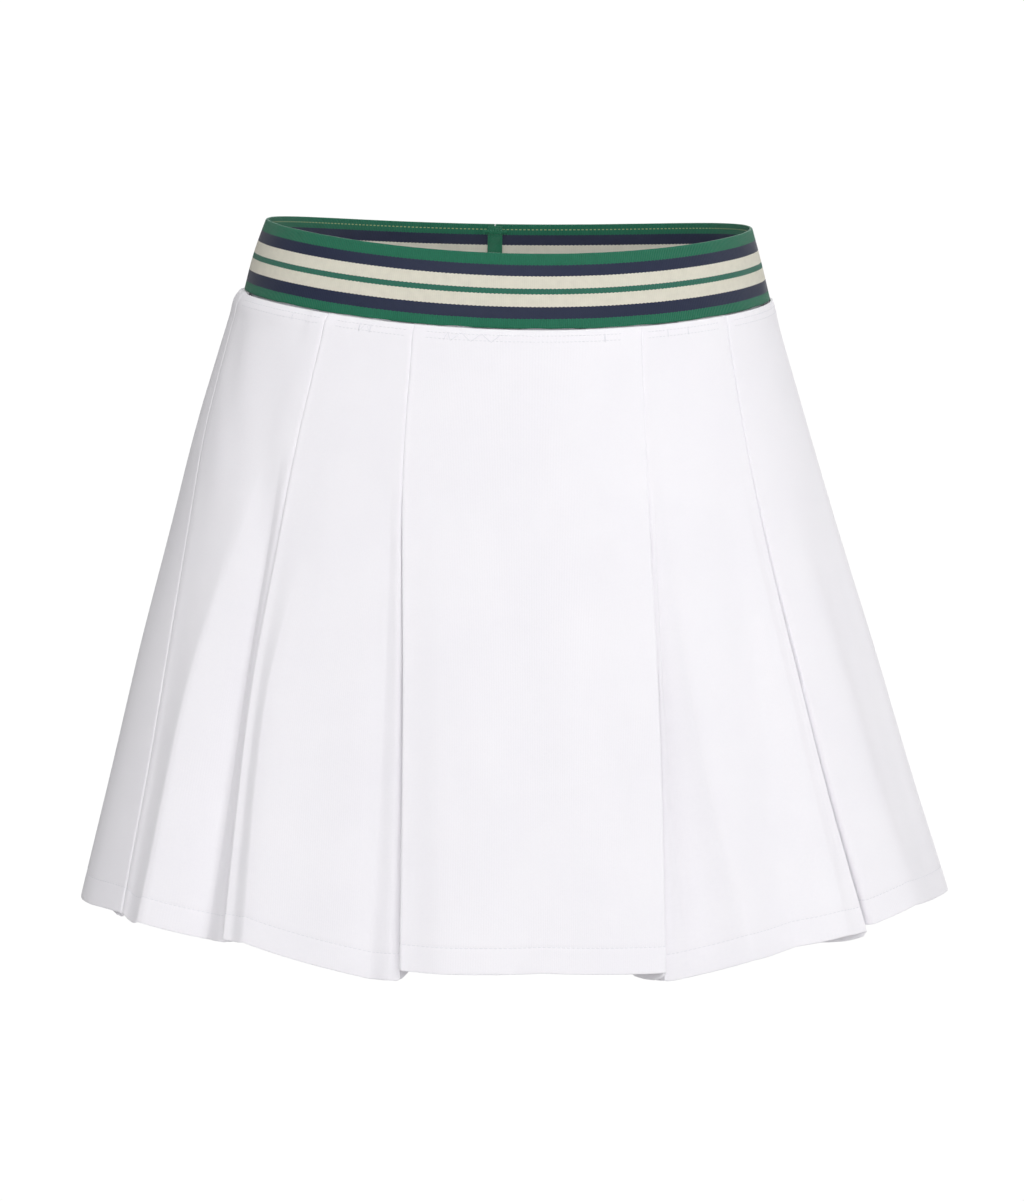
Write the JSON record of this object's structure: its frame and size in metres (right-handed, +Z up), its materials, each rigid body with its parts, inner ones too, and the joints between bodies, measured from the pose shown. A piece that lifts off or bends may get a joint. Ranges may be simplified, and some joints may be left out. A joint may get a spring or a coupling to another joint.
{
  "type": "pleated skort",
  "caption": "Pleated tennis skort with a striped elastic waistband and shorts beneath, filled out as worn, with open waist, hem and legs.",
  "frame": {"origin": "middle of the waistband's loop, where the wearer's waist holds the garment", "axes": "+Z up along the body, -Y towards the front, +X towards the wearer's left hip"},
  "size_m": [0.4723, 0.3106, 0.3961],
  "materials": {
    "striped_elastic": "woven elastic, striped green, navy and cream",
    "green_tape": "ribbed green tape",
    "white_knit": "smooth matt stretch knit, white",
    "shorts_knit": "smooth stretch knit, white"
  },
  "bodies": {
    "root": {"waistband": "striped_elastic", "band_tape": "green_tape", "skirt_front": "white_knit", "skirt_back": "white_knit", "shorts_right": "shorts_knit", "shorts_left": "shorts_knit"}
  },
  "joints": []
}
